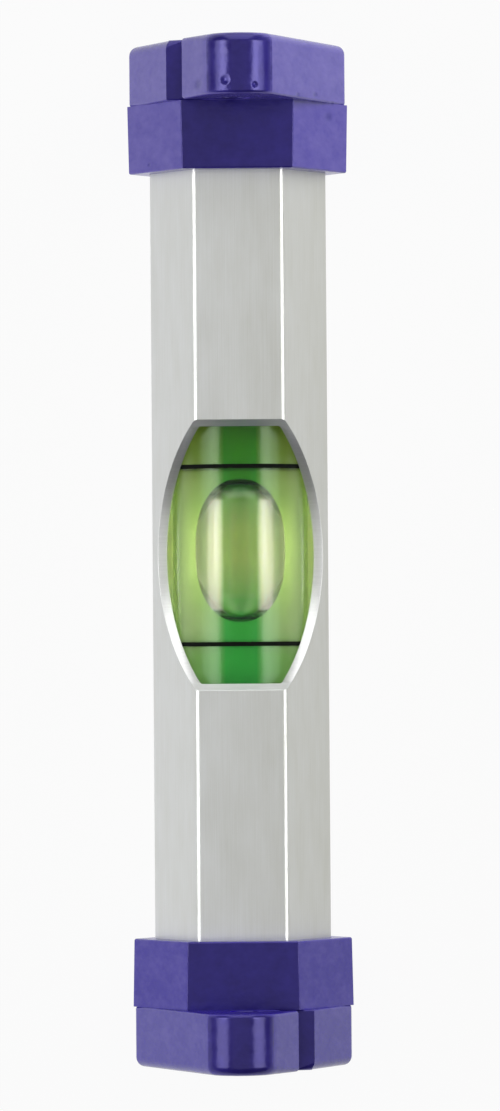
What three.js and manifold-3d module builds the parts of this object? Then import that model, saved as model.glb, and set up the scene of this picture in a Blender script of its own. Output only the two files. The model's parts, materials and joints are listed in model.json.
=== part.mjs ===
// A line level: a hexagonal aluminium tube with a spirit vial in its milled window, and on each end a
// moulded cap whose hook hangs the level on a stretched string.
// Millimetres. X runs along the level, +Z is up through the window, and the level lies on z = 0.
import * as THREE from "three";
import { mergeVertices } from "three/addons/utils/BufferGeometryUtils.js";
import Module from "manifold-3d";

const wasm = await Module();
wasm.setup();

// Driving dimensions, in millimetres

// Hexagonal tube and the round cutter that mills its window
const overallLength = 76.2;
const tubeAcrossFlats = 11.5;
const tubeWall = 0.6;
const tubeCornerRound = 0.5;
const tubeBoreCornerRound = 0.25;
const windowCutterRadius = 12.7;
const windowFloorRise = 0.84; // lowest point of the window, above the tube's axis

// Collar of the end cap, which fits over the tube
const collarLength = 5.05;
const collarWall = 1.2;
const collarCornerRound = 0.15;
const collarDraft = 0.1; // the side faces spread by this much from the rim to the hook
const socketClearance = 0.1;
const socketDepth = 4.6;
const socketEndClearance = 0.15;

// Hook portion of the end cap, measured from the tube's axis
const hookThickness = 4.5;
const hookHalfWidth = 8.2;
const hookCornerRound = 0.8;
const hookFootInset = 0.1; // the hook's lower flat stays clear of what the collar rests on
const hookEndRound = 0.7;
const crestRise = 6.65; // top of the hook above the collar's upper flat
const crestRadius = 3;
const crestHalfWidth = 2.4;
const crestOffset = 0.2; // the crest's centre lies this far from the axis, towards the panel
const shelfRise = 6.6; // the string slides in over this shelf, under the nose
const noseOffset = 4.05; // outer side of the nose
const noseFootRise = 8.2;
const slotWidth = 1; // the string's way between the shelf and the nose
const eyeDiameter = 2.4;
const eyeOffset = 0.25; // the eye's centre lies this far from the axis, towards the slot
const eyeFloorRise = 0.25; // lowest point of the eye above the collar's upper flat

// Vial
const vialLength = 30;
const vialClearance = 0.1;
const vialWall = 0.9;
const vialEndWall = 2.2;
const barrelRadius = 250; // curve of the bore along the vial, which brings the bubble back
const plugLip = 0.15; // step from the bore out to the plug's seat
const plugClearance = 0.03;
const lineOffset = 6.6; // reading line to the vial's middle
const lineWidth = 0.35;
const lineDepth = 0.12;
const lineClearance = 0.02;

// Liquid and bubble
const liquidClearance = 0.05;
const liquidLevelDrop = 0.3; // liquid surface below the bubble's underside
const bubbleLength = 11;
const bubbleWidth = 7.5; // before the bore trims it
const bubbleDepth = 2.1;
const bubbleClearance = 0.15;
const bubbleTravel = 6.5; // each way from the middle
const bubbleEndRoom = 0.35;

// Adhesive that holds the vial
const adhesiveLength = 1.3;
const adhesiveClearance = 0.05;
const adhesiveBoreDiameter = 6.4;

const overrun = 5; // how far a cutter runs past what it cuts

// Counts
const cornerSteps = 4;
const crestSteps = 8;
const roundSteps = 3;
const cutterSteps = 128;
const turnSteps = 48;
const barrelSteps = 10;
const holeSteps = 24;

// Sizes that follow

const capFit = socketClearance + collarWall;
const collarApothem = tubeAcrossFlats / 2 + capFit;
const hexagonCornerRatio = 2 / Math.sqrt(3); // corner radius over apothem
const collarCornerRadius = collarApothem * hexagonCornerRatio;
const capEndX = overallLength / 2;
const partingX = capEndX - hookThickness;
const rimX = partingX - collarLength;
const tubeHalfLength = rimX + socketDepth - socketEndClearance;
const boreApothem = tubeAcrossFlats / 2 - tubeWall;
const vialRadius = boreApothem - vialClearance;
const vialBoreRadius = vialRadius - vialWall;
const vialHalfLength = vialLength / 2;
const cavityHalfLength = vialHalfLength - vialEndWall;
const bubbleTop = vialBoreRadius - bubbleClearance;
const liquidLevel = bubbleTop - bubbleDepth - liquidLevelDrop;
const liquidOpenHalfLength = bubbleLength / 2 + bubbleTravel + bubbleEndRoom;

// Shape helpers

// Turns a drawing of the cross-section (y, z) with its depth into model axes: y, z, then x.
const crossSectionToModel = new THREE.Matrix4().makeBasis(
  new THREE.Vector3(0, 1, 0),
  new THREE.Vector3(0, 0, 1),
  new THREE.Vector3(1, 0, 0),
);

// A closed body of a geometry, for cutting and joining.
function bodyOf(geometry) {
  const bare = new THREE.BufferGeometry();
  bare.setAttribute("position", geometry.getAttribute("position"));
  bare.setIndex(geometry.index);
  const merged = mergeVertices(bare);
  const triVerts = new Uint32Array(merged.index.array);
  const vertProperties = merged.getAttribute("position").array;
  return new wasm.Manifold(new wasm.Mesh({ numProp: 3, vertProperties, triVerts }));
}

// The body as a geometry with flat faces.
function geometryOf(body) {
  const { vertProperties, triVerts } = body.getMesh();
  const indexed = new THREE.BufferGeometry();
  indexed.setAttribute("position", new THREE.BufferAttribute(vertProperties, 3));
  indexed.setIndex(new THREE.BufferAttribute(triVerts, 1));
  const geometry = indexed.toNonIndexed();
  geometry.computeVertexNormals();
  return geometry;
}

// A closed outline through corners, each rounded by its own radius.
function roundedOutline(corners, rounds, outline = new THREE.Shape()) {
  corners.forEach((corner, i) => {
    const back = corners.at(i - 1).clone().sub(corner).normalize();
    const ahead = corners[(i + 1) % corners.length].clone().sub(corner).normalize();
    const setback = rounds[i] / Math.tan(back.angleTo(ahead) / 2);
    const start = corner.clone().addScaledVector(back, setback);
    const end = corner.clone().addScaledVector(ahead, setback);
    if (i === 0) outline.moveTo(start.x, start.y);
    else outline.lineTo(start.x, start.y);
    if (setback > 0) outline.quadraticCurveTo(corner.x, corner.y, end.x, end.y);
  });
  outline.closePath();
  return outline;
}

// A hexagon with flats above and below and corners at the sides.
function hexagonOutline(apothem, cornerRound, outline) {
  const corners = Array.from({ length: 6 }, (_, i) => {
    const angle = (i * Math.PI) / 3;
    const radius = apothem * hexagonCornerRatio;
    return new THREE.Vector2(radius * Math.cos(angle), radius * Math.sin(angle));
  });
  return roundedOutline(corners, corners.map(() => cornerRound), outline);
}

// A cross-section drawn from one x to another.
function prism(outline, fromX, toX, curveSegments = cornerSteps) {
  const geometry = new THREE.ExtrudeGeometry(outline, {
    depth: toX - fromX,
    bevelEnabled: false,
    curveSegments,
  });
  return geometry.applyMatrix4(crossSectionToModel).translate(fromX, 0, 0);
}

// A profile of (radius, x) points turned round the X axis.
function turned(points) {
  const profile = points.map(([radius, x]) => new THREE.Vector2(radius, x));
  return new THREE.LatheGeometry(profile, turnSteps).rotateZ(-Math.PI / 2);
}

// A block given by its lowest and highest corners.
function block(low, high) {
  const size = high.clone().sub(low);
  const middle = high.clone().add(low).multiplyScalar(0.5);
  return new THREE.BoxGeometry(size.x, size.y, size.z).translate(middle.x, middle.y, middle.z);
}

// A round cutter lying along X, centred at (y, z).
function roundCutter(radius, y, z, fromX, toX) {
  const cylinder = new THREE.CylinderGeometry(radius, radius, toX - fromX, holeSteps);
  return cylinder.rotateZ(-Math.PI / 2).translate((fromX + toX) / 2, y, z);
}

// Tube

function makeTube() {
  const outline = hexagonOutline(tubeAcrossFlats / 2, tubeCornerRound);
  outline.holes.push(hexagonOutline(boreApothem, tubeBoreCornerRound, new THREE.Path()));
  const tube = bodyOf(prism(outline, -tubeHalfLength, tubeHalfLength));
  const cutterLength = tubeAcrossFlats + 2 * overrun;
  const cutter = new THREE.CylinderGeometry(
    windowCutterRadius,
    windowCutterRadius,
    cutterLength,
    cutterSteps,
  ).translate(0, 0, windowFloorRise + windowCutterRadius);
  return tube.subtract(bodyOf(cutter));
}

// End cap, as it sits on the +X end: the slot opens towards +Y

// The collar's side faces spread towards the hook; its upper and lower flats stay level.
function makeCollar() {
  const collar = prism(hexagonOutline(collarApothem, collarCornerRound), rimX, partingX);
  const position = collar.getAttribute("position");
  for (let i = 0; i < position.count; i += 1) {
    const spread = (collarDraft * (position.getX(i) - rimX)) / collarLength;
    position.setY(i, position.getY(i) + spread * Math.sign(position.getY(i)));
  }
  const socketApothem = tubeAcrossFlats / 2 + socketClearance;
  const socket = prism(hexagonOutline(socketApothem, 0), rimX - overrun, rimX + socketDepth);
  return bodyOf(collar).subtract(bodyOf(socket));
}

// The outline of the hook portion before its slot and eye are cut: a hexagon whose panel side runs on
// up to a round crest, with the nose coming down from the crest to the shelf on the other side.
function hookOutline() {
  const point = (y, z) => new THREE.Vector2(y, z);
  const crestCentre = point(-crestOffset, collarApothem + crestRise - crestRadius);
  const crestAngle = Math.asin(crestHalfWidth / crestRadius);
  const crest = Array.from({ length: crestSteps + 1 }, (_, i) => {
    const angle = crestAngle * (1 - (2 * i) / crestSteps);
    const across = crestRadius * Math.sin(angle);
    const up = crestRadius * Math.cos(angle);
    return crestCentre.clone().add(point(across, up));
  });
  const panelTop = crest.at(-1);
  const sideSlope = panelTop.y / (hookHalfWidth + panelTop.x);
  const footZ = hookFootInset - collarApothem;
  const corners = [
    point(hookHalfWidth, 0),
    point(hookHalfWidth - shelfRise / sideSlope, shelfRise),
    point(noseOffset, shelfRise),
    point(noseOffset, noseFootRise),
    ...crest,
    point(-hookHalfWidth, 0),
    point(-collarCornerRadius / 2, footZ),
    point(collarCornerRadius / 2, footZ),
  ];
  const rounds = corners.map((corner) => (corner.y > 0 ? 0 : hookCornerRound));
  return roundedOutline(corners, rounds);
}

// The string's way in: a slot from the shelf, under the nose, up to the eye below the crest.
function makeStringWay() {
  const fromX = partingX - overrun;
  const toX = capEndX + overrun;
  const mouthZ = shelfRise + slotWidth / 2;
  const eyeZ = collarApothem + eyeFloorRise + eyeDiameter / 2;
  const acrossY = eyeOffset - noseOffset;
  const acrossZ = eyeZ - mouthZ;
  const slot = new THREE.BoxGeometry(toX - fromX, Math.hypot(acrossY, acrossZ), slotWidth)
    .rotateX(Math.atan2(acrossZ, acrossY))
    .translate((fromX + toX) / 2, (noseOffset + eyeOffset) / 2, (mouthZ + eyeZ) / 2);
  return bodyOf(slot)
    .add(bodyOf(roundCutter(slotWidth / 2, noseOffset, mouthZ, fromX, toX)))
    .add(bodyOf(roundCutter(eyeDiameter / 2, eyeOffset, eyeZ, fromX, toX)));
}

function makeEndCap() {
  const hookStartX = partingX - 2 * hookEndRound;
  const rounded = new THREE.ExtrudeGeometry(hookOutline(), {
    depth: hookThickness,
    bevelThickness: hookEndRound,
    bevelSize: hookEndRound,
    bevelOffset: -hookEndRound,
    bevelSegments: roundSteps,
    curveSegments: cornerSteps,
  });
  rounded.applyMatrix4(crossSectionToModel).translate(hookStartX + hookEndRound, 0, 0);
  const reach = hookHalfWidth + collarApothem + overrun;
  const inboard = block(
    new THREE.Vector3(hookStartX - overrun, -reach, -reach),
    new THREE.Vector3(partingX, reach, reach),
  );
  const hook = bodyOf(rounded).subtract(bodyOf(inboard)).subtract(makeStringWay());
  return makeCollar().add(hook);
}

// Vial

const boreRadiusAt = (x) => vialBoreRadius - (x * x) / (2 * barrelRadius);

// Points along the barrel-shaped bore from one x to another, drawn in by an inset.
function barrelPoints(fromX, toX, inset) {
  return Array.from({ length: barrelSteps + 1 }, (_, i) => {
    const x = fromX + ((toX - fromX) * i) / barrelSteps;
    return [boreRadiusAt(x) - inset, x];
  });
}

function makeVialBarrel() {
  const seatRadius = vialBoreRadius + plugLip;
  const groove = (middle) => [
    [vialRadius, middle - lineWidth / 2],
    [vialRadius - lineDepth, middle - lineWidth / 2],
    [vialRadius - lineDepth, middle + lineWidth / 2],
    [vialRadius, middle + lineWidth / 2],
  ];
  return turned([
    [0, -vialHalfLength],
    [vialRadius, -vialHalfLength],
    ...groove(-lineOffset),
    ...groove(lineOffset),
    [vialRadius, vialHalfLength],
    [seatRadius, vialHalfLength],
    [seatRadius, cavityHalfLength],
    ...barrelPoints(cavityHalfLength, -cavityHalfLength, 0),
    [0, -cavityHalfLength],
  ]);
}

function makeVialPlug() {
  const radius = vialBoreRadius + plugLip - plugClearance;
  return turned([
    [0, cavityHalfLength + plugClearance],
    [radius, cavityHalfLength + plugClearance],
    [radius, vialHalfLength],
    [0, vialHalfLength],
  ]);
}

function makeReadingLine(middle) {
  const innerRadius = vialRadius - lineDepth + lineClearance;
  const halfWidth = lineWidth / 2 - lineClearance;
  return turned([
    [innerRadius, middle - halfWidth],
    [vialRadius, middle - halfWidth],
    [vialRadius, middle + halfWidth],
    [innerRadius, middle + halfWidth],
    [innerRadius, middle - halfWidth],
  ]);
}

// The body that fills the bore up to an inset.
function boreFilling(halfLength, inset) {
  return bodyOf(
    turned([[0, -halfLength], ...barrelPoints(-halfLength, halfLength, inset), [0, halfLength]]),
  );
}

// The liquid is level with the bubble's underside all along the bubble's way, and full at both ends.
function makeLiquid() {
  const filling = boreFilling(cavityHalfLength - liquidClearance, liquidClearance);
  const reach = vialRadius + overrun;
  const air = block(
    new THREE.Vector3(-liquidOpenHalfLength, -reach, liquidLevel),
    new THREE.Vector3(liquidOpenHalfLength, reach, reach),
  );
  return filling.subtract(bodyOf(air));
}

// The bubble is a flattened oval under the top of the bore, trimmed to pass the bore's narrower ends.
function makeBubble() {
  const oval = new THREE.SphereGeometry(1, turnSteps, turnSteps / 2)
    .scale(bubbleLength / 2, bubbleWidth / 2, bubbleDepth)
    .translate(0, 0, bubbleTop);
  const room = boreFilling(cavityHalfLength, bubbleClearance);
  return bodyOf(oval)
    .intersect(room.translate([-bubbleTravel, 0, 0]))
    .intersect(room.translate([bubbleTravel, 0, 0]));
}

// A bead of adhesive across the tube at one end of the vial.
function makeAdhesive() {
  const bead = hexagonOutline(boreApothem - adhesiveClearance, tubeBoreCornerRound);
  const hole = new THREE.Path();
  hole.absarc(0, 0, adhesiveBoreDiameter / 2, 0, 2 * Math.PI, true);
  bead.holes.push(hole);
  const fromX = vialHalfLength + adhesiveClearance;
  return prism(bead, fromX, fromX + adhesiveLength, turnSteps / 4);
}

// Materials

const aluminium = new THREE.MeshStandardMaterial({
  color: 0xc4c5c3,
  metalness: 1,
  roughness: 0.38,
});
const purplePlastic = new THREE.MeshStandardMaterial({
  color: 0x4c4494,
  metalness: 0,
  roughness: 0.35,
});
const acrylic = new THREE.MeshStandardMaterial({
  color: 0xe4f0d8,
  metalness: 0,
  roughness: 0.05,
  transparent: true,
  opacity: 0.35,
});
const greenLiquid = new THREE.MeshStandardMaterial({
  color: 0x8fc04e,
  metalness: 0,
  roughness: 0.1,
  transparent: true,
  opacity: 0.75,
});
const air = new THREE.MeshStandardMaterial({
  color: 0xe8f2cc,
  metalness: 0,
  roughness: 0.05,
  transparent: true,
  opacity: 0.4,
});
const blackLine = new THREE.MeshStandardMaterial({
  color: 0x111311,
  metalness: 0,
  roughness: 0.4,
});
const clearGlue = new THREE.MeshStandardMaterial({
  color: 0xd9d6c8,
  metalness: 0,
  roughness: 0.5,
});

// Assembly

const lineLevel = new THREE.Group();
const onAxis = new THREE.Group();
onAxis.position.z = collarApothem;
lineLevel.add(onAxis);

function place(name, geometry, material, turn = 0) {
  const mesh = new THREE.Mesh(geometry, material);
  mesh.name = name;
  mesh.rotation.z = turn;
  onAxis.add(mesh);
}

place("body_tube", geometryOf(makeTube()), aluminium);

const endCap = geometryOf(makeEndCap());
place("end_cap_right", endCap, purplePlastic);
place("end_cap_left", endCap, purplePlastic, Math.PI);

place("vial_barrel", makeVialBarrel(), acrylic);
place("vial_plug", makeVialPlug(), acrylic);
place("reading_line_left", makeReadingLine(-lineOffset), blackLine);
place("reading_line_right", makeReadingLine(lineOffset), blackLine);
place("vial_liquid", geometryOf(makeLiquid()), greenLiquid);
place("bubble", geometryOf(makeBubble()), air);

const adhesiveBead = makeAdhesive();
place("vial_adhesive_right", adhesiveBead, clearGlue);
place("vial_adhesive_left", adhesiveBead, clearGlue, Math.PI);

export default lineLevel;
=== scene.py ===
"""The looks of a line level: a brushed tube, a green vial in its window and two moulded hook caps.

Lengths are in metres. X runs along the level, +Z is up through the window, and the level lies on
z = 0. Cross-sections are drawn as (y, z), with z measured from the tube's axis.
"""
import json
import math

import bmesh
import bpy
from mathutils import Matrix, Vector


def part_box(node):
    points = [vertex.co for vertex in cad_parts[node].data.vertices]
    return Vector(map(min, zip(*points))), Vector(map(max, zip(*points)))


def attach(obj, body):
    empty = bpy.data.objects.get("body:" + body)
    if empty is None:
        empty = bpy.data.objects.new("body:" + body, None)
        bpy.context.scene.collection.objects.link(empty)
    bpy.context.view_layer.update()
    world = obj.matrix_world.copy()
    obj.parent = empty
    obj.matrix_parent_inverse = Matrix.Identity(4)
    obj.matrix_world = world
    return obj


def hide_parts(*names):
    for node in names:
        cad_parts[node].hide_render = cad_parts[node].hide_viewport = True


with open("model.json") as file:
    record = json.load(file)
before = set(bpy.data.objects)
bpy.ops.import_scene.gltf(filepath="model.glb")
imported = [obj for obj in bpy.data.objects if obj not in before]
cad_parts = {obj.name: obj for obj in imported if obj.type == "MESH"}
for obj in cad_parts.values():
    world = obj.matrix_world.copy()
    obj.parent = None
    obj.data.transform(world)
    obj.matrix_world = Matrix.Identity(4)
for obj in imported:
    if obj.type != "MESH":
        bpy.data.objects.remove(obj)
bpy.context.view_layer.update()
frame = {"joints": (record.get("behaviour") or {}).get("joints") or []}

MM = 0.001

# Sizes that the frame gives
tube_low, tube_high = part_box("body_tube")
cap_low, cap_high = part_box("end_cap_right")
vial_low, vial_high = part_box("vial_barrel")
plug_low, plug_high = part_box("vial_plug")
bead_low, bead_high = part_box("vial_adhesive_right")
line_low, line_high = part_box("reading_line_right")
bubble_low, bubble_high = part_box("bubble")

AXIS_Z = (tube_low.z + tube_high.z) / 2
TUBE_APOTHEM = (tube_high.z - tube_low.z) / 2
TUBE_HALF_LENGTH = tube_high.x
COLLAR_APOTHEM = AXIS_Z - cap_low.z
RIM_X = cap_low.x
CAP_END_X = cap_high.x
CREST_RISE = cap_high.z - AXIS_Z
VIAL_RADIUS = (vial_high.y - vial_low.y) / 2
VIAL_HALF_LENGTH = vial_high.x
CAVITY_HALF_LENGTH = plug_low.x
PLUG_RADIUS = (plug_high.y - plug_low.y) / 2
BUBBLE_HALF_LENGTH = bubble_high.x
BUBBLE_HALF_WIDTH = bubble_high.y
BUBBLE_TRAVEL = frame["joints"][0]["range_m"][1]
LINE_PLACE = (line_low.x + line_high.x) / 2
LINE_HALF_WIDTH = (line_high.x - line_low.x) / 2

# Tube and window
TUBE_WALL = 0.6 * MM
TUBE_CORNER_ROUND = 0.5 * MM
BORE_CORNER_ROUND = 0.25 * MM
WINDOW_CUTTER_RADIUS = 12.7 * MM
WINDOW_FLOOR_RISE = 0.84 * MM
WINDOW_EDGE_BREAK = 0.012 * MM

# Collar
HOOK_THICKNESS = 4.5 * MM
COLLAR_CORNER_ROUND = 0.12 * MM
COLLAR_RIM_ROUND = 0.16 * MM
COLLAR_DRAFT = 0.1 * MM
SOCKET_CLEARANCE = 0.1 * MM
SOCKET_LIP_GAP = 0.03 * MM
SOCKET_LIP_LENGTH = 0.6 * MM
SOCKET_DEPTH = 4.6 * MM
JOIN_OVERLAP = 0.02 * MM

# Hook portion
HOOK_HALF_WIDTH = 8.15 * MM
HOOK_FOOT_INSET = 0.1 * MM
HOOK_CORNER_ROUND = 0.8 * MM
HOOK_END_ROUND = 0.7 * MM
CREST_RADIUS = 3 * MM
CREST_HALF_WIDTH = 2.4 * MM
CREST_OFFSET = 0.2 * MM
SHELF_RISE = 6.6 * MM
NOSE_OFFSET = 4.05 * MM
NOSE_FOOT_RISE = 8.2 * MM
NOSE_ROUND = 0.28 * MM
SLOT_WIDTH = 1 * MM
SLOT_END_ROUND = 0.16 * MM
EYE_RADIUS = 1.2 * MM
EYE_OFFSET = 0.25 * MM
EYE_FLOOR_RISE = 0.25 * MM
PANEL_RIM_ROUND = 0.2 * MM
BLOCK_RIM_ROUND = 0.2 * MM
CREST_RIM_ROUND = 0.3 * MM
HIDDEN_RIM_ROUND = 0.02 * MM
PANEL_RIM_BLEND = 0.5 * MM

# Vial
VIAL_WALL = 0.9 * MM
VIAL_EDGE_BREAK = 0.15 * MM
VIAL_BARREL_RADIUS = 250 * MM
VIAL_SEEN_X = 10 * MM  # the window shows the vial about this far either way
LINE_DEPTH = 0.12 * MM
LINE_ROUND = 0.04 * MM
LIQUID_GAP = 0.01 * MM
LIQUID_END_GAP = 0.04 * MM
BUBBLE_FILM = 0.04 * MM
BUBBLE_SPREAD = 0.15 * MM  # the film beside the bubble is thinner than the solid's clearance
BUBBLE_SHORTFALL = 0.1 * MM
BUBBLE_OFFSET = 0.35 * MM  # the level isn't quite level
BUBBLE_NOSE_DROP = 1.9 * MM
BUBBLE_LEFT_NOSE = 2.4 * MM
BUBBLE_RIGHT_NOSE = 1.2 * MM
BUBBLE_PLAN_POWER = 2.6  # above 2, its outline is squarer than an ellipse
BUBBLE_NOSE_POWER = 3
BUBBLE_CROWN_ROUND = 1 * MM
BUBBLE_LIGHT_X = -0.85 * MM  # the middle of the light patch in its floor
BEAD_HOLE_RADIUS = 3.2 * MM
BEAD_BULGE = 0.25 * MM

# Small dents in the left cap: how far from its end, y, and radius, in millimetres
HOOK_DENTS = (
    (3.65, -2.87, 0.62),
    (3.5, -0.86, 0.46),
    (3.85, 1.3, 0.3),
    (4.25, 4.5, 0.24),
    (4.05, 5.8, 0.3),
    (4.5, 7.1, 0.2),
)
COLLAR_DENTS = ((5.5, 6.8, 0.5), (9.0, -6.6, 0.2))
DENT_HEIGHT = 1.2 * MM  # a dent reaches this far down a steep side

PARTING_X = CAP_END_X - HOOK_THICKNESS
BORE_APOTHEM = TUBE_APOTHEM - TUBE_WALL
BORE_RADIUS = VIAL_RADIUS - VIAL_WALL
HEXAGON_CORNER_RATIO = 2 / math.sqrt(3)

# Steps of round shapes
ARC_STEP = math.radians(7)
ROUND_STEPS = 6
CREST_STEPS = 24
EYE_STEPS = 36
TURN_STEPS = 144
BARREL_STEPS = 24
BUBBLE_STEPS = 96
CUTTER_STEPS = 320
ROUND_ANGLES = [i / ROUND_STEPS * math.pi / 2 for i in range(ROUND_STEPS + 1)]

# Edges that count as sharp
SHADING_ANGLE = math.radians(38)
EDGE_BREAK_ANGLE = math.radians(30)


# Drawing cross-sections


def arc(centre, radius, start, end, steps):
    """Points on a circle from one angle to another, both ends among them."""
    angles = [start + (end - start) * i / steps for i in range(steps + 1)]
    return [centre + radius * Vector((math.cos(angle), math.sin(angle))) for angle in angles]


def rounded_corner(before, corner, after, radius):
    """The arc that rounds one corner, or the corner itself where the radius is zero."""
    if radius == 0:
        return [corner]
    back = (before - corner).normalized()
    ahead = (after - corner).normalized()
    half_angle = back.angle(ahead) / 2
    centre = corner + (back + ahead).normalized() * (radius / math.sin(half_angle))
    first = corner + back * (radius / math.tan(half_angle)) - centre
    last = corner + ahead * (radius / math.tan(half_angle)) - centre
    start = math.atan2(first.y, first.x)
    turn = (math.atan2(last.y, last.x) - start + math.pi) % (2 * math.pi) - math.pi
    steps = max(1, round(abs(turn) / ARC_STEP))
    return arc(centre, radius, start, start + turn, steps)


def rounded_outline(corners, rounds):
    """A closed outline through corners, each rounded by its own radius."""
    outline = []
    for i, corner in enumerate(corners):
        after = corners[(i + 1) % len(corners)]
        outline += rounded_corner(corners[i - 1], corner, after, rounds[i])
    return outline


def hexagon(apothem, corner_round):
    """A hexagon with flats above and below."""
    corners = [
        apothem * HEXAGON_CORNER_RATIO * Vector((math.cos(angle), math.sin(angle)))
        for angle in (i * math.pi / 3 for i in range(6))
    ]
    return rounded_outline(corners, [corner_round] * 6)


def circle(radius, steps=TURN_STEPS):
    return arc(Vector((0, 0)), radius, 0, 2 * math.pi, steps)[:-1]


def inset(outline, depths):
    """An anticlockwise outline, with each point moved inwards by its own depth."""
    moved = []
    for i, point in enumerate(outline):
        back = (point - outline[i - 1]).normalized()
        ahead = (outline[(i + 1) % len(outline)] - point).normalized()
        inward = Vector((-back.y - ahead.y, back.x + ahead.x)).normalized()
        mitre = max(inward.dot(Vector((-ahead.y, ahead.x))), 0.5)
        moved.append(point + inward * (depths[i] / mitre))
    return moved


# Building meshes


def ring(outline, x):
    """An outline set across the level at one x, or at one x for each point."""
    places = x if isinstance(x, list) else [x] * len(outline)
    return [Vector((place, point.x, AXIS_Z + point.y)) for place, point in zip(places, outline)]


def loft(rings, closed=False):
    """A closed mesh through rings. It ends in flat faces, or its last ring joins the first."""
    mesh = bmesh.new()
    rows = [[mesh.verts.new(point) for point in points] for points in rings]
    pairs = list(zip(rows, rows[1:]))
    if closed:
        pairs.append((rows[-1], rows[0]))
    else:
        mesh.faces.new(rows[0])
        mesh.faces.new(rows[-1])
    for row, following in pairs:
        for i in range(len(row)):
            mesh.faces.new((row[i - 1], row[i], following[i], following[i - 1]))
    bmesh.ops.recalc_face_normals(mesh, faces=mesh.faces)
    return mesh


def turned(profile, closed=False):
    """A profile of (radius, x) points turned round the tube's axis."""
    return loft([ring(circle(radius), x) for radius, x in profile], closed)


def piece_of(name, mesh):
    """A Blender object of a mesh under construction."""
    data = bpy.data.meshes.new(name)
    mesh.to_mesh(data)
    mesh.free()
    piece = bpy.data.objects.new(name, data)
    bpy.context.scene.collection.objects.link(piece)
    return piece


def apply_modifiers(piece):
    """The piece keeps the shape that its modifiers give it."""
    shaped = piece.evaluated_get(bpy.context.evaluated_depsgraph_get())
    data = bpy.data.meshes.new_from_object(shaped)
    piece.modifiers.clear()
    piece.data = data


def combine(piece, other, operation):
    """Joins another object to the piece, or cuts it away."""
    modifier = piece.modifiers.new("combine", "BOOLEAN")
    modifier.solver = "EXACT"
    modifier.operation = operation
    modifier.object = other
    apply_modifiers(piece)
    bpy.data.objects.remove(other)


def break_edges(piece, width):
    """A fine bevel along every sharp edge."""
    modifier = piece.modifiers.new("edge_break", "BEVEL")
    modifier.width = width
    modifier.segments = 2
    modifier.limit_method = "ANGLE"
    modifier.angle_limit = EDGE_BREAK_ANGLE
    modifier.use_clamp_overlap = True
    apply_modifiers(piece)


def half_turned(piece, name):
    """A copy of the piece for the level's other end, turned half round."""
    data = piece.data.copy()
    data.transform(Matrix.Rotation(math.pi, 4, "Z"))
    copy = bpy.data.objects.new(name, data)
    bpy.context.scene.collection.objects.link(copy)
    return copy


def shade(piece):
    """Smooth shading that keeps flats flat and sharp edges sharp."""
    mesh = bmesh.new()
    mesh.from_mesh(piece.data)
    for face in mesh.faces:
        face.smooth = True
    for edge in mesh.edges:
        edge.smooth = edge.is_manifold and edge.calc_face_angle() < SHADING_ANGLE
    mesh.to_mesh(piece.data)
    mesh.free()
    weights = piece.modifiers.new("flat_faces_first", "WEIGHTED_NORMAL")
    weights.keep_sharp = True
    weights.weight = 100


def fit(piece, finish, nodes, body="level"):
    """Gives a piece its finish and the body that it rides on, and hides the nodes that it stands
    for.
    """
    if not piece.data.materials:
        piece.data.materials.append(finish)
    shade(piece)
    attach(piece, body)
    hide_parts(*nodes)


# Shader tools


class Output:
    """An output socket that takes part in sums: each operator adds one Math node."""

    def __init__(self, socket):
        self.socket = socket

    def math(self, operation, *terms):
        tree = Tree(self.socket.node.id_data)
        sockets = dict(enumerate(terms))
        return tree.node("ShaderNodeMath", {"operation": operation}, sockets)["Value"]

    def __add__(self, other):
        return self.math("ADD", self, other)

    __radd__ = __add__

    def __sub__(self, other):
        return self.math("SUBTRACT", self, other)

    def __rsub__(self, other):
        return self.math("SUBTRACT", other, self)

    def __mul__(self, other):
        return self.math("MULTIPLY", self, other)

    __rmul__ = __mul__

    def __truediv__(self, other):
        return self.math("DIVIDE", self, other)

    def vector(self, operation, *terms):
        """Vector maths: a length comes back as a number, and all else as a vector."""
        tree = Tree(self.socket.node.id_data)
        sockets = dict(enumerate((self, *terms)))
        result = "Value" if operation == "LENGTH" else "Vector"
        return tree.node("ShaderNodeVectorMath", {"operation": operation}, sockets)[result]

    def part(self, letter):
        """One part of a vector."""
        tree = Tree(self.socket.node.id_data)
        return tree.node("ShaderNodeSeparateXYZ", {}, {"Vector": self})[letter]

    def clipped(self):
        """The value held between 0 and 1."""
        return self.math("MAXIMUM", self.math("MINIMUM", self, 1.0), 0.0)

    def between(self, start, end):
        """0 where the value is at the start, 1 where it is at the end, and even between them."""
        return ((self - start) / (end - start)).clipped()

    def contrast(self, factor):
        """The value drawn away from its middle, 0.5."""
        return ((self - 0.5) * factor + 0.5).clipped()


class Outputs:
    """The outputs of a node, by name."""

    def __init__(self, node):
        self.sockets = node.outputs

    def __getitem__(self, name):
        return Output(self.sockets[name])


class Tree:
    """The nodes of a material, the world or a lamp."""

    def __init__(self, nodes):
        self.tree = nodes

    def node(self, kind, settings, sockets):
        """A node of a kind: its settings are made first, then its sockets get values or links."""
        made = self.tree.nodes.new(kind)
        for name, value in settings.items():
            setattr(made, name, value)
        for name, value in sockets.items():
            if isinstance(value, Output):
                self.tree.links.new(value.socket, made.inputs[name])
            else:
                made.inputs[name].default_value = value
        return Outputs(made)

    def mix(self, factor, first, second):
        """A colour between two, by a factor."""
        sockets = {0: factor, 6: first, 7: second}
        return self.node("ShaderNodeMix", {"data_type": "RGBA"}, sockets)[2]


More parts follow.
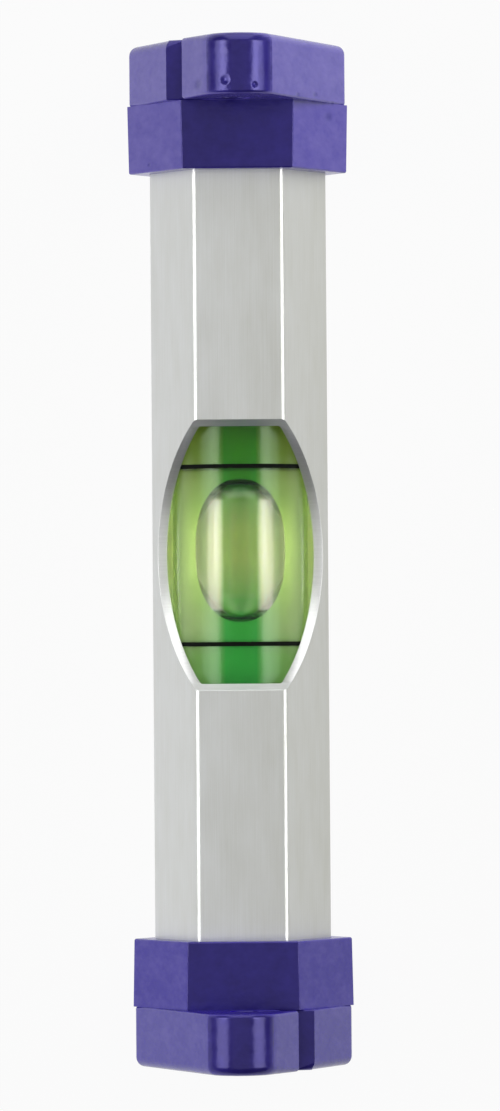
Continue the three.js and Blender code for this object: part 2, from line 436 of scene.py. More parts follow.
class Finish(Tree):
    """A material made of nodes."""

    def __init__(self, name):
        self.material = bpy.data.materials.new(name)
        self.material.use_nodes = True
        super().__init__(self.material.node_tree)
        self.tree.nodes.clear()

    def place(self):
        """Where a point of the surface lies on the level."""
        return self.node("ShaderNodeTexCoord", {}, {})["Object"]

    def along_from(self, x):
        """How far a point lies from one x, along the level."""
        return self.place().vector("SUBTRACT", (x, 0, 0)).vector("ABSOLUTE").part("X")

    def beside_axis(self):
        """How far a point lies to either side of the level's axis."""
        return self.place().vector("ABSOLUTE").part("Y")

    def grain(self, grain_size, detail=2.0, roughness=0.5):
        """Noise whose grains have a size along X, Y and Z."""
        vector = self.place().vector("DIVIDE", grain_size)
        sockets = {"Vector": vector, "Scale": 1.0, "Detail": detail, "Roughness": roughness}
        return self.node("ShaderNodeTexNoise", {}, sockets)["Fac"]

    def spot(self, centre, radii):
        """A spot with a radius along X, Y and Z, 1 in its middle and 0 from its edge on."""
        away = self.place().vector("SUBTRACT", centre).vector("DIVIDE", radii)
        return (1 - away.vector("LENGTH")).clipped()

    def bump(self, height, depth):
        """The normal of a surface whose height runs from 0 to 1 over a depth."""
        sockets = {"Height": height, "Distance": depth, "Strength": 1.0}
        return self.node("ShaderNodeBump", {}, sockets)["Normal"]

    def surface(self, sockets):
        """Matter that lets no light through."""
        shader = self.node("ShaderNodeBsdfPrincipled", {}, sockets)["BSDF"]
        self.node("ShaderNodeOutputMaterial", {}, {"Surface": shader})
        return self.material

    def glass(self, sockets, shade_tint):
        """Clear matter that lets the lamps through, tinted, to what lies behind it."""
        shader = self.node("ShaderNodeBsdfPrincipled", {}, {"Transmission Weight": 1.0, **sockets})
        through = self.node("ShaderNodeBsdfTransparent", {}, {"Color": shade_tint})
        shadow_ray = self.node("ShaderNodeLightPath", {}, {})["Is Shadow Ray"]
        mixed = self.node(
            "ShaderNodeMixShader", {}, {0: shadow_ray, 1: shader["BSDF"], 2: through["BSDF"]}
        )
        self.node("ShaderNodeOutputMaterial", {}, {"Surface": mixed["Shader"]})
        return self.material


# Finishes


def brushed_aluminium():
    """Brushed along the tube: long fine streaks, with soft patches. It is paler towards -Y: painted
    light on that side.
    """
    finish = Finish("brushed_aluminium")
    streaks = finish.grain((6 * MM, 0.055 * MM, 0.055 * MM), 3.0, 0.6)
    patches = finish.grain((4 * MM, 1.2 * MM, 1.2 * MM), 3.0)
    # painted light: the colour is paler towards -Y
    painted_light_aside = finish.place().part("Y") / (2 * TUBE_APOTHEM)
    tone_and_painted_light = (streaks * 0.6 + patches * 0.5 - painted_light_aside * 0.5 - 0.05).clipped()
    colour = finish.mix(tone_and_painted_light, (0.6, 0.605, 0.55, 1), (0.79, 0.805, 0.805, 1))
    return finish.surface(
        {
            "Base Color": colour,
            "Metallic": 0.6,
            "Roughness": 0.34 + patches * 0.08,
            "Normal": finish.bump(streaks, 0.008 * MM),
        }
    )


def bore_aluminium():
    """Inside, the tube is as it was extruded and anodised: pale and matte."""
    finish = Finish("bore_aluminium")
    draw_lines = finish.grain((12 * MM, 0.3 * MM, 0.3 * MM))
    return finish.surface(
        {
            "Base Color": finish.mix(draw_lines, (0.56, 0.57, 0.56, 1), (0.69, 0.7, 0.69, 1)),
            "Metallic": 0.6,
            "Roughness": 0.32,
        }
    )


def milled_aluminium():
    """The window's cut face, with fine cutter lines across the tube."""
    finish = Finish("milled_aluminium")
    lines = finish.grain((0.12 * MM, 3 * MM, 0.12 * MM))
    return finish.surface(
        {
            "Base Color": finish.mix(lines, (0.6, 0.605, 0.6, 1), (0.74, 0.745, 0.74, 1)),
            "Metallic": 0.8,
            "Roughness": 0.34 + lines * 0.1,
            "Normal": finish.bump(lines, 0.006 * MM),
        }
    )


def hook_rise(y):
    """The height of the left cap's hook over the tube's axis, at one y."""
    right_y = -y
    outline = [point for point, end_round, rim_round in hook_outline()]
    rises = []
    for start, end in zip(outline, outline[1:] + outline[:1]):
        if min(start.x, end.x) <= right_y < max(start.x, end.x):
            share = (right_y - start.x) / (end.x - start.x)
            rises.append(start.y + (end.y - start.y) * share)
    return max(rises)


def collar_rise(y):
    """The height of a collar's steep side over the tube's axis, at one y."""
    return (COLLAR_APOTHEM * HEXAGON_CORNER_RATIO - abs(y)) * math.tan(math.pi / 3)


def purple_plastic():
    """Moulded, half gloss and faintly uneven, with a few dents. Its steep sides are paler, more so
    towards -X: painted light. Its dents are darker: painted shade.
    """
    finish = Finish("purple_plastic")
    swell = finish.grain((1.2 * MM, 1.4 * MM, 2.4 * MM))
    pebble = finish.grain((0.4 * MM, 0.5 * MM, 0.9 * MM))
    uneven = (swell * 0.65 + pebble * 0.35).contrast(2.2)
    dents = [(end, y, radius, hook_rise(y * MM)) for end, y, radius in HOOK_DENTS]
    dents += [(end, y, radius, collar_rise(y * MM)) for end, y, radius in COLLAR_DENTS]
    dents_and_painted_shade = 0
    for end, y, radius, rise in dents:
        centre = (end * MM - CAP_END_X, y * MM, AXIS_Z + rise)
        pit = finish.spot(centre, (radius * MM, radius * MM, DENT_HEIGHT))
        dents_and_painted_shade = dents_and_painted_shade + pit * pit * (3 - 2 * pit)
    normal = finish.node("ShaderNodeNewGeometry", {}, {})["True Normal"]
    # painted light: steep sides paler than the flats, and paler towards -X
    facing_up = normal.vector("ABSOLUTE").part("Z") - uneven * 0.1
    steep = facing_up.between(0.6, 0.5)
    painted_light_leftward = finish.place().part("X").between(CAP_END_X, -CAP_END_X)
    tone_and_painted_light = (uneven * 0.5 + painted_light_leftward * 0.5 - 0.2).clipped()
    flat_colour = finish.mix(uneven, (0.028, 0.016, 0.23, 1), (0.042, 0.028, 0.33, 1))
    steep_painted_light = finish.mix(tone_and_painted_light, (0.024, 0.004, 0.41, 1), (0.2, 0.16, 0.62, 1))
    colour = finish.mix(steep, flat_colour, steep_painted_light)
    return finish.surface(
        {
            # painted shade: the dents' colour is darker
            "Base Color": finish.mix((dents_and_painted_shade * 0.9).clipped(), colour, (0.02, 0.008, 0.32, 1)),
            "Roughness": 0.19 + uneven * 0.08,
            "Specular IOR Level": 0.64,
            "Specular Tint": (0.54, 0.5, 1, 1),
            "Normal": finish.bump(uneven * 0.5 - dents_and_painted_shade * (2 - 1.5 * steep), 0.04 * MM),
        }
    )


def clear_acrylic():
    """Clear in front, and tinted where one looks along the vial's wall."""
    finish = Finish("clear_acrylic")
    waves = finish.grain((6 * MM, 2 * MM, 2 * MM))
    wall = finish.beside_axis().between(BORE_RADIUS, BORE_RADIUS + 0.4 * MM)
    sockets = {
        "Base Color": finish.mix(wall, (0.97, 0.985, 0.94, 1), (0.7, 0.8, 0.45, 1)),
        "Roughness": 0.2,
        "Specular Tint": (0.45, 0.6, 0.45, 1),
        "IOR": 1.49,
        "Normal": finish.bump(waves, 0.002 * MM),
    }
    return finish.glass(sockets, (0.97, 0.985, 0.94, 1))


def wetted_bore():
    """The bore's wall can't be seen where liquid wets it: the liquid's own surface shows."""
    finish = Finish("wetted_bore")
    return finish.surface({"Base Color": (1, 1, 1, 1), "Alpha": 0.0})


def green_liquid():
    """Deep green where one looks through its whole depth, and lime beside that: partly the liquid's
    depth and partly painted light and shade, the lime standing for the side lamps seen in the bore
    below, the dark green middle for the dark above.

    Light is tinted as it goes in above and as it comes out below. Both tints change along the vial
    and round the bubble: painted light makes them brighter towards +X, where the end lamp reaches
    under the window, and painted shade makes them darker past the reading lines, where the tube
    hides the vial's ends, and dark green round the bubble's noses. The refraction is reckoned from
    the acrylic round the liquid.
    """
    finish = Finish("green_liquid")
    beside = finish.beside_axis()
    from_bubble = finish.along_from(-BUBBLE_OFFSET)
    painted_light_rightward = finish.place().part("X").between(-VIAL_SEEN_X, VIAL_SEEN_X)
    painted_shade_past_line = finish.along_from(0).between(LINE_PLACE - MM, LINE_PLACE + MM)
    past_bubble = from_bubble.between(3.51 * MM, 5.31 * MM)
    # painted light: lime beside the core, for the side lamps seen in the bore; the core's dark
    # green is the liquid's depth and painted shade
    core = beside.between(1.05 * MM, 0.3 * MM)
    nose = from_bubble.between(4.44 * MM, 5.04 * MM) * beside.between(1.68 * MM, 1.08 * MM)
    # painted light: brighter towards +X, where the end lamp reaches under the window
    deep_and_painted_light = finish.mix(painted_light_rightward, (0.32, 0.36, 0.006, 1), (0.2, 0.76, 0.18, 1))
    core_colour = finish.mix(past_bubble, (0.37, 0.78, 0.14, 1), deep_and_painted_light)
    middle_lime = finish.mix(painted_light_rightward, (0.76, 0.9, 0.34, 1), (1, 1, 0.72, 1))
    # painted shade: darker past the reading lines, where the tube hides the vial's ends
    shaded_end_lime = finish.mix(painted_light_rightward, (0.42, 0.52, 0.1, 1), (0.62, 1, 0.38, 1))
    side_painted_light = finish.mix(painted_shade_past_line, middle_lime, shaded_end_lime)
    lower = finish.mix(core, side_painted_light, core_colour)
    # painted shade: dark green round the bubble's noses
    upper = finish.mix(nose, (0.94, 1, 0.84, 1), (0.12, 1, 0.45, 1))
    below_axis = finish.place().part("Z").between(AXIS_Z, AXIS_Z - MM)
    colour = finish.mix(below_axis, upper, lower)
    sockets = {"Base Color": colour, "Roughness": 0.0, "IOR": 0.96}
    return finish.glass(sockets, (0.86, 0.985, 0.7, 1))


def bubble_air():
    """Clear above, with a pale strip on either side, partly lamp gloss and partly painted
    highlight, and dimmed by its own floor. The floor's colour holds a painted light patch in its
    middle, darker towards its ends, and the roof turns dark green at the noses: painted shade.

    The refraction is reckoned from the liquid round the bubble.
    """
    finish = Finish("bubble_air")
    beside = finish.beside_axis()
    roof = finish.place().part("Z").between(AXIS_Z + 2.5 * MM, AXIS_Z + 3 * MM)
    between_strips = beside.between(1.7 * MM, 1.2 * MM)
    beside_middle = beside.between(0.3 * MM, 0.8 * MM)
    past_strips = beside.between(2 * MM, 2.5 * MM)
    end = finish.along_from(BUBBLE_LIGHT_X).between(1.2 * MM, 4.2 * MM)
    nose = finish.along_from(-BUBBLE_OFFSET).between(4.32 * MM, 5.52 * MM)
    # painted light: a light patch in the floor's middle, cream under the strips; painted shade:
    # dark green at the noses
    olive = finish.mix(beside_middle, (0.95, 1, 0.2, 1), (0.5, 1, 0.2, 1))
    middle_light_patch = finish.mix(end, olive, (0.05, 0.66, 0.02, 1))
    floor_painted_light = finish.mix(between_strips, (1, 1, 0.6, 1), middle_light_patch)
    pale = finish.mix(past_strips, (1, 0.72, 1, 1), (0.95, 1, 1, 1))
    roof_colour = finish.mix(nose, pale, (0.15, 1, 0.45, 1))
    sockets = {
        "Base Color": finish.mix(roof, floor_painted_light, roof_colour),
        "Metallic": roof * (1 - between_strips) * 0.045,
        "Roughness": 0.45 - roof * 0.45,
        "IOR": 0.7,
    }
    return finish.glass(sockets, (1, 1, 1, 1))


def black_line():
    finish = Finish("black_line")
    wear = finish.grain((0.2 * MM, 0.3 * MM, 0.3 * MM))
    return finish.surface(
        {
            "Base Color": finish.mix(wear, (0.002, 0.003, 0.002, 1), (0.01, 0.012, 0.01, 1)),
            "Roughness": 0.6 + wear * 0.2,
            "Specular IOR Level": 0.05,
        }
    )


def cured_adhesive():
    finish = Finish("cured_adhesive")
    cloud = finish.grain((0.8 * MM, 0.8 * MM, 0.8 * MM), 3.0)
    return finish.surface(
        {
            "Base Color": finish.mix(cloud, (0.5, 0.48, 0.4, 1), (0.7, 0.68, 0.6, 1)),
            "Roughness": 0.3 + cloud * 0.3,
            "Normal": finish.bump(cloud, 0.05 * MM),
        }
    )


# Tube


def on_bore(face):
    """Whether a face of the uncut tube lies on its bore, nearer the axis than the wall's middle."""
    y, z = abs(face.center.y), abs(face.center.z - AXIS_Z)
    apothem = max(z, y * math.cos(math.pi / 6) + z * math.sin(math.pi / 6))
    return apothem < TUBE_APOTHEM - TUBE_WALL / 2 and abs(face.normal.x) < 0.5


def make_tube(brushed, milled, bore_finish):
    """A hexagonal tube with a window. A face's material index is its finish's place in finishes."""
    finishes = (brushed, milled, bore_finish)
    outer = hexagon(TUBE_APOTHEM, TUBE_CORNER_ROUND)
    bore = hexagon(BORE_APOTHEM, BORE_CORNER_ROUND)
    rings = [
        ring(outer, -TUBE_HALF_LENGTH),
        ring(outer, TUBE_HALF_LENGTH),
        ring(bore, TUBE_HALF_LENGTH),
        ring(bore, -TUBE_HALF_LENGTH),
    ]
    tube = piece_of("tube", loft(rings, closed=True))
    cutter = make_window_cutter()
    for piece in (tube, cutter):
        for finish in finishes:
            piece.data.materials.append(finish)
    for face in cutter.data.polygons:
        face.material_index = finishes.index(milled)
    for face in tube.data.polygons:
        if on_bore(face):
            face.material_index = finishes.index(bore_finish)
    combine(tube, cutter, "DIFFERENCE")
    break_edges(tube, WINDOW_EDGE_BREAK)
    fit(tube, brushed, ["body_tube"])


def make_window_cutter():
    """The round cutter that mills the window, lying across the tube."""
    centre_z = AXIS_Z + WINDOW_FLOOR_RISE + WINDOW_CUTTER_RADIUS
    reach = 2 * TUBE_APOTHEM
    outline = circle(WINDOW_CUTTER_RADIUS, CUTTER_STEPS)
    rings = [
        [Vector((point.x, y, centre_z + point.y)) for point in outline] for y in (-reach, reach)
    ]
    return piece_of("window_cutter", loft(rings))


# End caps, built as the cap on the +X end


def make_collar():
    """A hexagonal cup over the tube's end, a little wider towards the hook."""

    def drafted(outline, x):
        spread = COLLAR_DRAFT * (x - RIM_X) / (PARTING_X - RIM_X)
        return [Vector((point.x + math.copysign(spread, point.x), point.y)) for point in outline]

    socket = hexagon(TUBE_APOTHEM + SOCKET_CLEARANCE, BORE_CORNER_ROUND)
    lip = hexagon(TUBE_APOTHEM + SOCKET_LIP_GAP, BORE_CORNER_ROUND)
    outer = hexagon(COLLAR_APOTHEM, COLLAR_CORNER_ROUND)
    rings = [
        ring(socket, RIM_X + SOCKET_DEPTH),
        ring(socket, RIM_X + SOCKET_LIP_LENGTH),
        ring(lip, RIM_X + SOCKET_LIP_LENGTH / 2),
        ring(lip, RIM_X),
    ]
    for angle in ROUND_ANGLES:
        depth = COLLAR_RIM_ROUND * (1 - math.sin(angle))
        x = RIM_X + COLLAR_RIM_ROUND * (1 - math.cos(angle))
        rings.append(ring(inset(drafted(outer, x), [depth] * len(outer)), x))
    end_x = PARTING_X + JOIN_OVERLAP
    rings.append(ring(drafted(outer, end_x), end_x))
    return piece_of("collar", loft(rings))


def hook_corners():
    """The hook's cross-section, anticlockwise, as (point, corner round, end round, rim round)."""
    crest_centre = Vector((-CREST_OFFSET, CREST_RISE - CREST_RADIUS))
    crest_angle = math.asin(CREST_HALF_WIDTH / CREST_RADIUS)
    up = math.pi / 2
    crest = arc(crest_centre, CREST_RADIUS, up - crest_angle, up + crest_angle, CREST_STEPS)
    panel_foot = Vector((-HOOK_HALF_WIDTH, 0))
    panel = panel_foot - crest[-1]
    side_slope = panel.y / panel.x
    block_top = Vector((HOOK_HALF_WIDTH - SHELF_RISE / side_slope, SHELF_RISE))
    foot = (COLLAR_APOTHEM * HEXAGON_CORNER_RATIO / 2, HOOK_FOOT_INSET - COLLAR_APOTHEM)

    eye = Vector((EYE_OFFSET, COLLAR_APOTHEM + EYE_FLOOR_RISE + EYE_RADIUS))
    mouth = Vector((NOSE_OFFSET, SHELF_RISE + SLOT_WIDTH / 2))
    way = mouth - eye
    bearing = math.atan2(way.y, way.x)
    half_gap = math.asin(SLOT_WIDTH / 2 / EYE_RADIUS)
    eye_end = bearing + half_gap - 2 * math.pi
    eye_wall = arc(eye, EYE_RADIUS, bearing - half_gap, eye_end, EYE_STEPS)
    slot_slope = way.y / way.x
    slot_half_rise = SLOT_WIDTH / 2 / math.cos(bearing)
    floor_y = NOSE_OFFSET + (SHELF_RISE - mouth.y + slot_half_rise) / slot_slope

    corners = [
        (Vector((HOOK_HALF_WIDTH, 0)), HOOK_CORNER_ROUND, HOOK_END_ROUND, BLOCK_RIM_ROUND),
        (block_top, 0, HOOK_END_ROUND, BLOCK_RIM_ROUND),
        (Vector((floor_y, SHELF_RISE)), NOSE_ROUND, SLOT_END_ROUND, SLOT_END_ROUND),
    ]
    corners += [(point, 0, SLOT_END_ROUND, SLOT_END_ROUND) for point in eye_wall]
    corners += [
        (Vector((NOSE_OFFSET, mouth.y + slot_half_rise)), NOSE_ROUND, NOSE_ROUND, NOSE_ROUND),
        (Vector((NOSE_OFFSET, NOSE_FOOT_RISE)), NOSE_ROUND, NOSE_ROUND, NOSE_ROUND),
    ]
    corners += [(point, 0, HOOK_END_ROUND, CREST_RIM_ROUND) for point in crest]
    corners += [
        (crest[-1] + panel.normalized() * PANEL_RIM_BLEND, 0, HOOK_END_ROUND, PANEL_RIM_ROUND),
        (panel_foot, HOOK_CORNER_ROUND, HOOK_END_ROUND, PANEL_RIM_ROUND),
        (Vector((-foot[0], foot[1])), HOOK_CORNER_ROUND, HOOK_END_ROUND, HIDDEN_RIM_ROUND),
        (Vector(foot), HOOK_CORNER_ROUND, HOOK_END_ROUND, HIDDEN_RIM_ROUND),
    ]
    return corners


def hook_outline():
    """The hook's cross-section as (point, end round, rim round), with every corner rounded."""
    corners = hook_corners()
    stops = []
    for i, (corner, corner_round, end_round, rim_round) in enumerate(corners):
        after = corners[(i + 1) % len(corners)][0]
        for point in rounded_corner(corners[i - 1][0], corner, after, corner_round):
            stops.append((point, end_round, rim_round))
    outline = []
    for i, (point, end_round, rim_round) in enumerate(stops):
        after, next_end, next_rim = stops[(i + 1) % len(stops)]
        steps = 1 if (end_round, rim_round) == (next_end, next_rim) else ROUND_STEPS
        for k in range(steps):
            share = k / steps
            outline.append(
                (
                    point.lerp(after, share),
                    end_round + (next_end - end_round) * share,
                    rim_round + (next_rim - rim_round) * share,
                )
            )
    return outline


def make_hook():
    points, end_rounds, rim_rounds = (list(part) for part in zip(*hook_outline()))

    def rounded_edge(start_x, side, rounds, angle):
        places = [start_x + side * size * (1 - math.cos(angle)) for size in rounds]
        depths = [size * (1 - math.sin(angle)) for size in rounds]
        return ring(inset(points, depths), places)

    rings = [rounded_edge(PARTING_X, 1, rim_rounds, angle) for angle in ROUND_ANGLES]
    rings += [rounded_edge(CAP_END_X, -1, end_rounds, angle) for angle in ROUND_ANGLES[::-1]]
    return piece_of("hook", loft(rings))


def make_end_caps(plastic):
    """Both caps are one moulding, a collar and a hook in one piece."""
    right = make_collar()
    combine(right, make_hook(), "UNION")
    right.name = "hook_cap_right"
    left = half_turned(right, "hook_cap_left")
    for piece, side in ((right, "right"), (left, "left")):
        fit(piece, plastic, [f"end_cap_{side}"])


# Vial


def bore_radius(x):
    """The bore is a barrel, widest in the middle, so that the bubble comes back there."""
    return BORE_RADIUS - x * x / (2 * VIAL_BARREL_RADIUS)


def bore_profile(half_length, gap):
    """Points along the bore's wall, or a gap inside it, from left to right."""
    places = [half_length * (2 * i / BARREL_STEPS - 1) for i in range(BARREL_STEPS + 1)]
    return [(bore_radius(x) - gap, x) for x in places]


def groove(middle):
    """The profile of the groove that a reading line is painted in."""
    half_width = LINE_HALF_WIDTH + LINE_ROUND / 2
    floor = VIAL_RADIUS - LINE_DEPTH
    return [
        (VIAL_RADIUS, middle - half_width),
        (floor, middle - half_width),
        (floor, middle + half_width),
        (VIAL_RADIUS, middle + half_width),
    ]


def make_vial_barrel(acrylic, bore_wall):
    """The barrel is closed on the left, and its right end is open for the plug."""
    finishes = (acrylic, bore_wall)
    edge = VIAL_EDGE_BREAK
    end = VIAL_HALF_LENGTH
    seat = PLUG_RADIUS + LINE_ROUND
    profile = [(VIAL_RADIUS - edge, -end), (VIAL_RADIUS, edge - end)]
    profile += groove(-LINE_PLACE) + groove(LINE_PLACE)
    profile += [(VIAL_RADIUS, end - edge), (VIAL_RADIUS - edge, end), (seat, end)]
    profile += [(seat, CAVITY_HALF_LENGTH)] + bore_profile(CAVITY_HALF_LENGTH, 0)[::-1]
    vial = piece_of("vial", turned(profile))
    for finish in finishes:
        vial.data.materials.append(finish)
    for face in vial.data.polygons:
        away = math.hypot(face.center.y, face.center.z - AXIS_Z)
        if away < BORE_RADIUS and abs(face.center.x) < CAVITY_HALF_LENGTH:
            face.material_index = finishes.index(bore_wall)
    fit(vial, acrylic, ["vial_barrel"])


def make_vial_plug(acrylic):
    edge = VIAL_EDGE_BREAK
    profile = [
        (PLUG_RADIUS - edge, plug_low.x),
        (PLUG_RADIUS, plug_low.x + edge),
        (PLUG_RADIUS, plug_high.x - edge),
        (PLUG_RADIUS - edge, plug_high.x),
    ]
    fit(piece_of("plug", turned(profile)), acrylic, ["vial_plug"])


def make_reading_lines(paint):
    floor = VIAL_RADIUS - LINE_DEPTH + LINE_ROUND / 2
    for side, middle in (("left", -LINE_PLACE), ("right", LINE_PLACE)):
        corners = [
            Vector((floor, middle - LINE_HALF_WIDTH)),
            Vector((VIAL_RADIUS, middle - LINE_HALF_WIDTH)),
            Vector((VIAL_RADIUS, middle + LINE_HALF_WIDTH)),
            Vector((floor, middle + LINE_HALF_WIDTH)),
        ]
        section = rounded_outline(corners, [LINE_ROUND / 2] * 4)
        line = piece_of(f"line_{side}", turned([tuple(point) for point in section], closed=True))
        fit(line, paint, [f"reading_line_{side}"])


def make_liquid(liquid):
    """The liquid fills the bore, and the bubble lies in it."""
    profile = bore_profile(CAVITY_HALF_LENGTH - LIQUID_END_GAP, LIQUID_GAP)
    fit(piece_of("liquid", turned(profile)), liquid, ["vial_liquid"])


def make_bubble(air):
    """Air against the top of the bore, with a rounded nose at each end and a hollow floor.

    It keeps clear of the bore's wall as far as it slides.
    """
    wide = BUBBLE_HALF_WIDTH + BUBBLE_SPREAD
    half_length = BUBBLE_HALF_LENGTH - BUBBLE_SHORTFALL
    floor_rise = bubble_low.z - AXIS_Z
    rings = []
    for i in range(1, BUBBLE_STEPS):
        share = -math.cos(math.pi * i / BUBBLE_STEPS)
        x = half_length * share - BUBBLE_OFFSET
        reach = math.hypot(x, BUBBLE_CROWN_ROUND) + BUBBLE_TRAVEL
        roof = BORE_RADIUS - reach**2 / (2 * VIAL_BARREL_RADIUS) - BUBBLE_FILM
        nose_reach = BUBBLE_LEFT_NOSE if share < 0 else BUBBLE_RIGHT_NOSE
        nose = max(0, 1 - half_length * (1 - abs(share)) / nose_reach)
        nose_height = (1 - nose**BUBBLE_NOSE_POWER) ** (1 / BUBBLE_NOSE_POWER)
        nose_drop = BUBBLE_NOSE_DROP * (1 - nose_height)
        half_width = wide * math.sqrt(1 - abs(share) ** BUBBLE_PLAN_POWER)
        edge_rise = math.sqrt(roof**2 - half_width**2) - nose_drop
        lift = roof - BUBBLE_NOSE_DROP - floor_rise
        middle = floor_rise + lift * (1 - math.sqrt(1 - share**4))
        section = []
        for k in range(TURN_STEPS):
            across = math.cos(2 * math.pi * k / TURN_STEPS)
            y = half_width * across
            top = math.sqrt(roof**2 - y**2) - nose_drop
            floor = middle + (edge_rise - middle) * across**2
            section.append(Vector((y, top if k < TURN_STEPS / 2 else floor)))
        rings.append(ring(section, x))
    bubble = piece_of("air_bubble", loft(rings))
    fit(bubble, air, ["bubble"], body="bubble")


def make_adhesive(glue):
    """Rings of glue that fill the hexagonal bore, each with a round hole."""

    def by_angle(radius_at):
        angles = [2 * math.pi * i / TURN_STEPS for i in range(TURN_STEPS)]
        return [radius_at(a) * Vector((math.cos(a), math.sin(a))) for a in angles]

    def wall_radius(angle):
        flat_turn = math.pi / 3
        return (bead_high.z - AXIS_Z) / math.cos(angle % flat_turn - flat_turn / 2)

    def middle_radius(angle):
        return (wall_radius(angle) + BEAD_HOLE_RADIUS) / 2

    wall = by_angle(wall_radius)
    middle = by_angle(middle_radius)
    hole = circle(BEAD_HOLE_RADIUS)
    rings = [
        ring(wall, bead_low.x),
        ring(wall, bead_high.x),
        ring(middle, bead_high.x - BEAD_BULGE),
        ring(hole, bead_high.x - BEAD_BULGE / 2),
        ring(hole, bead_low.x + BEAD_BULGE / 2),
        ring(middle, bead_low.x + BEAD_BULGE / 4),
    ]
    right = piece_of("adhesive_right", loft(rings, closed=True))
    left = half_turned(right, "adhesive_left")
    for piece, side in ((right, "right"), (left, "left")):
        fit(piece, glue, [f"vial_adhesive_{side}"])


# Stage

PHOTO_WIDTH = 500
PHOTO_HEIGHT = 1111
PHOTO_CENTRE_Y = 555.6  # the level's middle
PHOTO_AXIS_X = 240.4  # the tube's axis, halfway down the picture
PIXEL = 0.07475 * MM  # at the height of the tube's axis
CAMERA_DISTANCE = 550 * MM
CAMERA_FOOT_X = 6.1 * MM
LEAN = math.radians(0.42)
SENSOR = 24

# A strip and its core on either side give the tube's corners, the hooks and the vial bright lines
STRIP_ANGLE = math.radians(52)
STRIP_DISTANCE = 350 * MM
STRIP_WIDTH = 210 * MM
STRIP_LENGTH = 280 * MM
STRIP_RADIANCE = 3.6
CORE_ANGLE = math.radians(45)
CORE_WIDTH = 110 * MM
CORE_LENGTH = 170 * MM
CORE_SHIFT = -60 * MM
CORE_RADIANCE = 4.0

# The top lamp lies in the tube's front flat, and the end lamp in the window's cut near the +X end
TOP_ANGLE = math.radians(5)
TOP_DISTANCE = 600 * MM
TOP_WIDTH = 560 * MM
TOP_RADIANCE = 0.66
END_ANGLE = math.radians(61)
END_DISTANCE = 300 * MM
END_WIDTH = 340 * MM
END_LENGTH = 300 * MM
END_RADIANCE = 2.3

# The fills come in low: they brighten the steep sides, and make no gloss
FILL_DISTANCE = 200 * MM
FILL_WIDTH = 140 * MM
LEFT_FILL_DIRECTION = Vector((0.05, -1, 0.15))
LEFT_FILL_RADIANCE = 3.2
RIGHT_FILL_DIRECTION = Vector((-0.9, 1, 0.15))
RIGHT_FILL_RADIANCE = 4.4

ROOM_RADIANCE = 0.1
FLOOR_HALF_SIZE = 1.5
FLOOR_WHITE_SHARE = 0.94


def make_camera():
    """The camera looks down on the level, with -X up the picture."""
    data = bpy.data.cameras.new("camera")
    camera = bpy.data.objects.new("camera", data)
    bpy.context.scene.collection.objects.link(camera)
    bpy.context.scene.camera = camera
    data.sensor_fit = "VERTICAL"
    data.sensor_height = SENSOR
    data.lens = SENSOR * CAMERA_DISTANCE / (PHOTO_HEIGHT * PIXEL)
    data.clip_start = 10 * MM
    data.clip_end = 10
    offset = (PHOTO_WIDTH / 2 - PHOTO_AXIS_X) * PIXEL
    place = Vector((CAMERA_FOOT_X, offset, AXIS_Z + CAMERA_DISTANCE))
    aim = Vector(((PHOTO_HEIGHT / 2 - PHOTO_CENTRE_Y) * PIXEL, offset, AXIS_Z))
    back = (place - aim).normalized()
    right = back.cross(Vector((0, 1, 0)).cross(back)).normalized()
    up = back.cross(right)
    turn = Matrix((right, up, back)).transposed().to_4x4()
    camera.matrix_world = Matrix.Translation(place) @ turn @ Matrix.Rotation(-LEAN, 4, "Z")


def make_lamp(name, direction, distance, size, radiance, shines_as, shift=0):
    """A soft box that faces the level, shifted along X.

    Its size is a width and a length. The length runs along X, or along Y where it stands at an end.
    """
    width, length = size
    data = bpy.data.lights.new(name, "AREA")
    data.shape = "RECTANGLE"
    data.size = width
    data.size_y = length
    data.energy = radiance * math.pi * width * length
    lamp = bpy.data.objects.new(name, data)
    bpy.context.scene.collection.objects.link(lamp)
    facing = direction.normalized()
    place = Vector((shift, 0, AXIS_Z)) + facing * distance
    along = Vector((1, 0, 0)) if abs(facing.x) < 0.5 else Vector((0, 1, 0))
    across = along.cross(facing).normalized()
    turn = Matrix((across, facing.cross(across), facing)).transposed().to_4x4()
    lamp.matrix_world = Matrix.Translation(place) @ turn
    lamp.visible_diffuse = "diffuse" in shines_as
    lamp.visible_glossy = "glossy" in shines_as
    lamp.visible_transmission = "glossy" in shines_as


def make_lamps():
    gloss, diffuse = ("glossy",), ("diffuse",)
    for side in (-1, 1):
        strip = Vector((0, side * math.sin(STRIP_ANGLE), math.cos(STRIP_ANGLE)))
        strip_size = (STRIP_WIDTH, STRIP_LENGTH)
        make_lamp(f"strip_{side}", strip, STRIP_DISTANCE, strip_size, STRIP_RADIANCE, gloss)
        core = Vector((0, side * math.sin(CORE_ANGLE), math.cos(CORE_ANGLE)))
        core_size = (CORE_WIDTH, CORE_LENGTH)
        name = f"core_{side}"
        make_lamp(name, core, STRIP_DISTANCE, core_size, CORE_RADIANCE, gloss, CORE_SHIFT)
    fill_size = (FILL_WIDTH, FILL_WIDTH)
    for name, fill, radiance in (
        ("fill_left", LEFT_FILL_DIRECTION, LEFT_FILL_RADIANCE),
        ("fill_right", RIGHT_FILL_DIRECTION, RIGHT_FILL_RADIANCE),
    ):
        make_lamp(name, fill, FILL_DISTANCE, fill_size, radiance, diffuse)
    top = Vector((math.sin(TOP_ANGLE), 0, math.cos(TOP_ANGLE)))
    make_lamp("top", top, TOP_DISTANCE, (TOP_WIDTH, TOP_WIDTH), TOP_RADIANCE, gloss + diffuse)
    end = Vector((-math.sin(END_ANGLE), 0, math.cos(END_ANGLE)))
    make_lamp("end", end, END_DISTANCE, (END_WIDTH, END_LENGTH), END_RADIANCE, gloss)


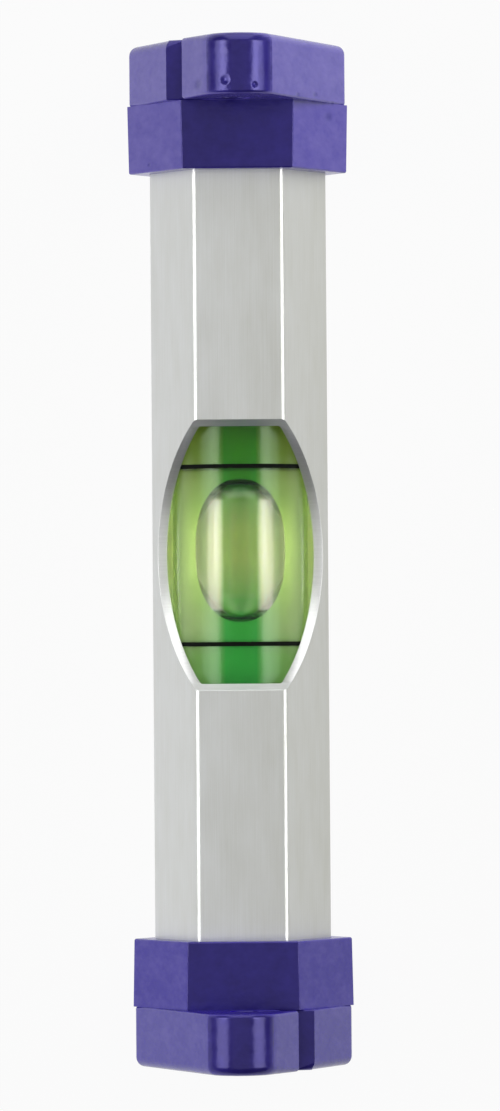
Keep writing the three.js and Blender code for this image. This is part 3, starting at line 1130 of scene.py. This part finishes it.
def make_world():
    """A dim room for the light and the gloss, with white behind the level."""
    world = bpy.data.worlds.new("room")
    bpy.context.scene.world = world
    world.use_nodes = True
    world.node_tree.nodes.clear()
    tree = Tree(world.node_tree)
    backgrounds = [
        tree.node("ShaderNodeBackground", {}, {"Color": (1, 1, 1, 1), "Strength": strength})
        for strength in (ROOM_RADIANCE, 1.0)
    ]
    room, white = (background["Background"] for background in backgrounds)
    seen = tree.node("ShaderNodeLightPath", {}, {})["Is Camera Ray"]
    mixed = tree.node("ShaderNodeMixShader", {}, {0: seen, 1: room, 2: white})
    tree.node("ShaderNodeOutputWorld", {}, {"Surface": mixed["Shader"]})


def make_floor():
    """A white floor that keeps a soft shadow."""
    mesh = bmesh.new()
    corners = (Vector((x, y, 0)) * FLOOR_HALF_SIZE for x, y in ((-1, -1), (1, -1), (1, 1), (-1, 1)))
    mesh.faces.new([mesh.verts.new(corner) for corner in corners])
    floor = piece_of("floor", mesh)
    finish = Finish("white_floor")
    matte = finish.node("ShaderNodeBsdfDiffuse", {}, {"Color": (0.9, 0.9, 0.9, 1)})
    white = finish.node("ShaderNodeEmission", {}, {"Color": (1, 1, 1, 1), "Strength": 1.0})
    path = finish.node("ShaderNodeLightPath", {}, {})
    seen = (path["Is Camera Ray"] + path["Is Glossy Ray"] + path["Is Transmission Ray"]).clipped()
    sockets = {0: seen * FLOOR_WHITE_SHARE, 1: matte["BSDF"], 2: white["Emission"]}
    mixed = finish.node("ShaderNodeMixShader", {}, sockets)
    finish.node("ShaderNodeOutputMaterial", {}, {"Surface": mixed["Shader"]})
    floor.data.materials.append(finish.material)


acrylic_finish = clear_acrylic()
make_tube(brushed_aluminium(), milled_aluminium(), bore_aluminium())
make_end_caps(purple_plastic())
make_vial_barrel(acrylic_finish, wetted_bore())
make_vial_plug(acrylic_finish)
make_reading_lines(black_line())
make_liquid(green_liquid())
make_bubble(bubble_air())
make_adhesive(cured_adhesive())

make_camera()
make_lamps()
make_world()
make_floor()
bpy.context.scene.view_settings.view_transform = "Standard"
